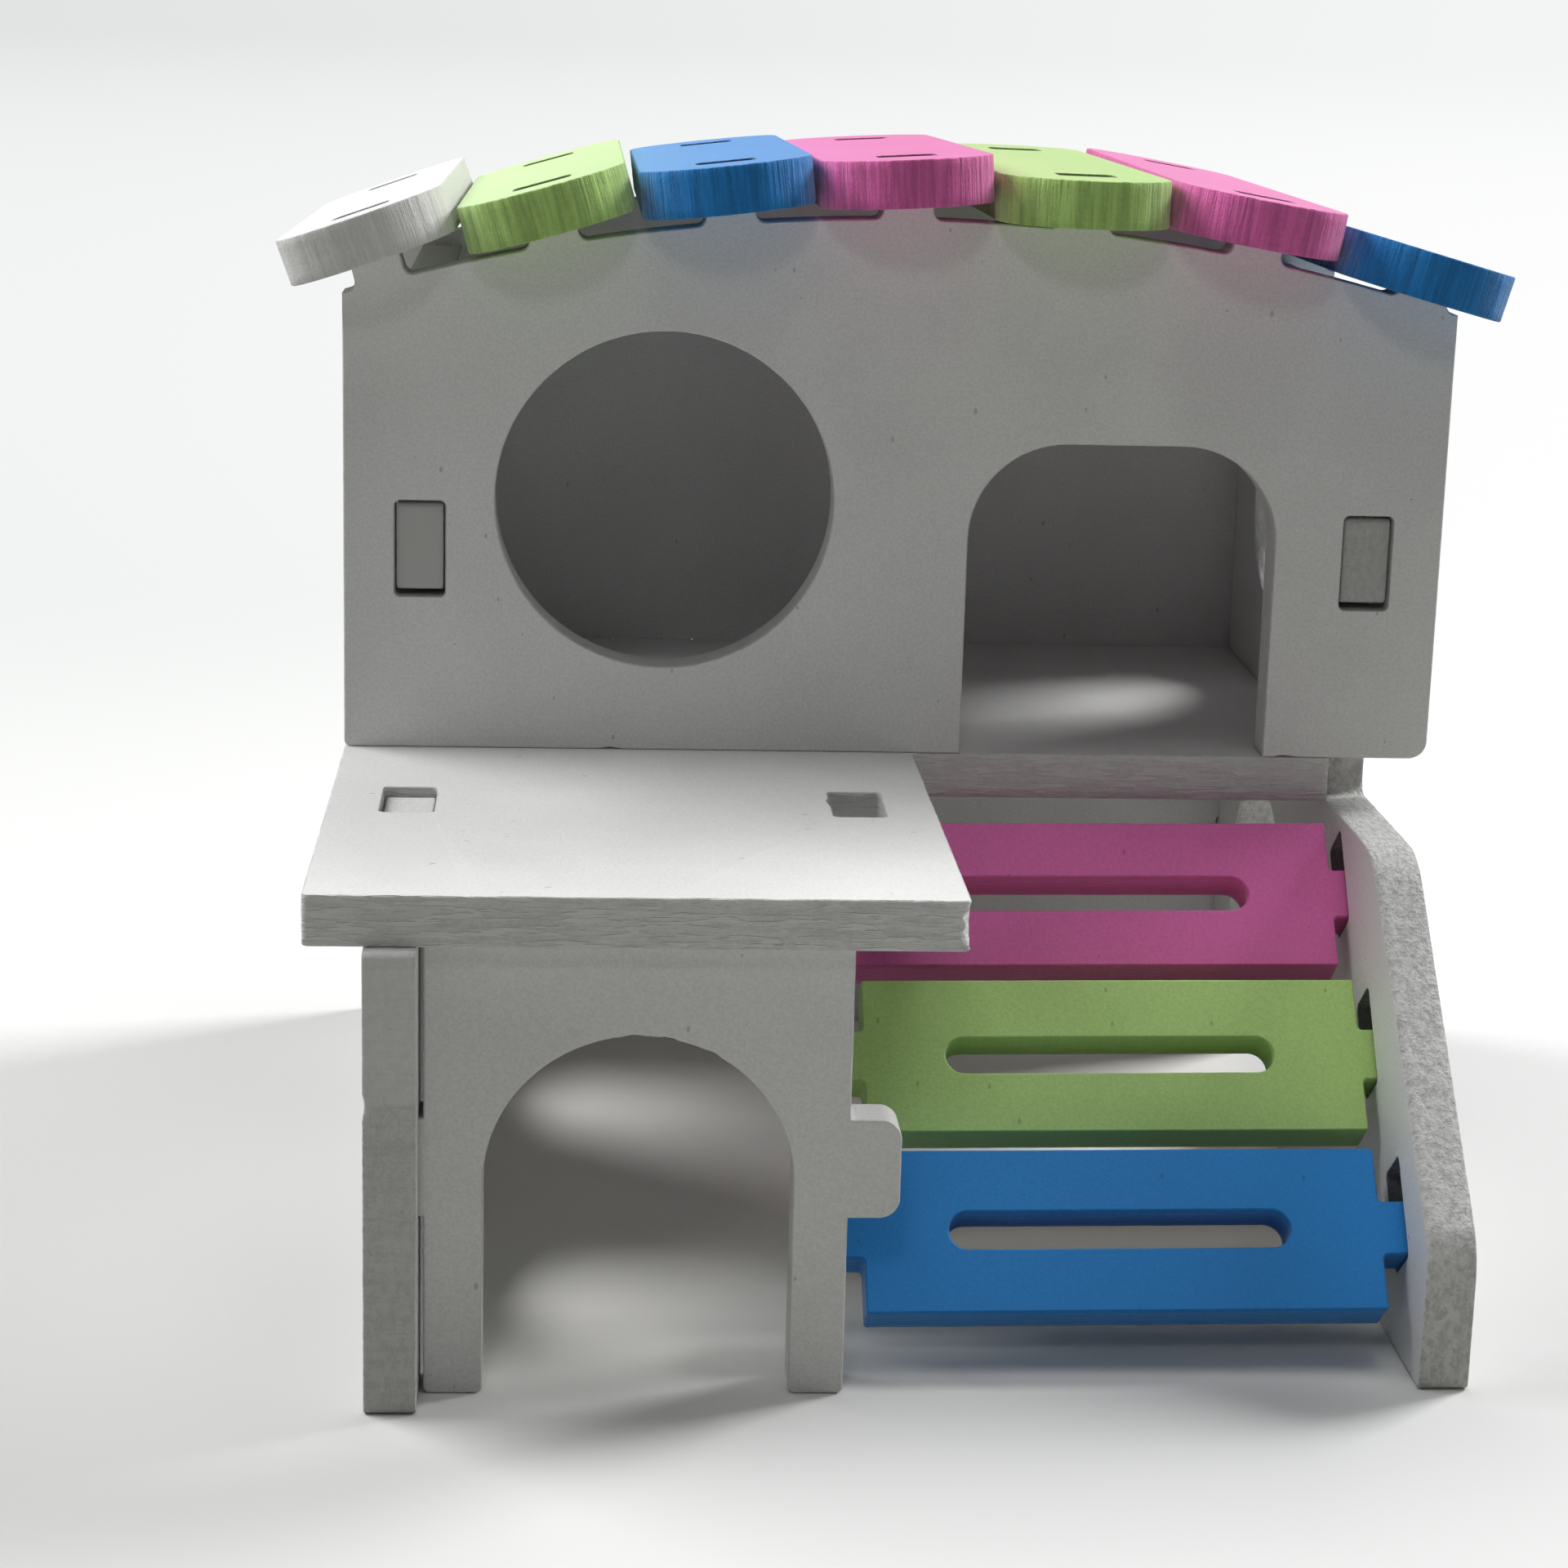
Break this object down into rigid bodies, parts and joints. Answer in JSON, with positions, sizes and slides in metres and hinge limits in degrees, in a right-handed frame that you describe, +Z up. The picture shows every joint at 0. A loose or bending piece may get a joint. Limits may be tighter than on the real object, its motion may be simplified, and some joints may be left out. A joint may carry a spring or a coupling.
{
  "type": "hamster house",
  "caption": "Two-storey wooden hamster house of slotted boards, with an arched porch under a landing, a slatted stair, round windows and a curved roof of coloured boards.",
  "frame": {"origin": "on the ground, under the middle of the whole house: halfway across the long walls and halfway from the left wall's front edge to the back ends of the roof boards", "axes": "+Z up, the front wall and the porch face -Y, +X to the right of someone who looks at the front, where the stair is"},
  "size_m": [0.1324, 0.1388, 0.1165],
  "materials": {
    "white_paint": "matt white paint on MDF",
    "pink_paint": "matt pink paint on MDF",
    "green_paint": "matt light green paint on MDF",
    "blue_paint": "matt blue paint on MDF"
  },
  "bodies": {
    "root": {"front_wall": "white_paint", "back_wall": "white_paint", "left_wall": "white_paint", "right_wall": "white_paint", "deck": "white_paint", "arch_panel": "white_paint", "slat_pink": "pink_paint", "slat_green": "green_paint", "slat_blue": "blue_paint", "roof_board_1": "white_paint", "roof_board_2": "green_paint", "roof_board_3": "blue_paint", "roof_board_4": "pink_paint", "roof_board_5": "green_paint", "roof_board_6": "pink_paint", "roof_board_7": "blue_paint"}
  },
  "joints": []
}
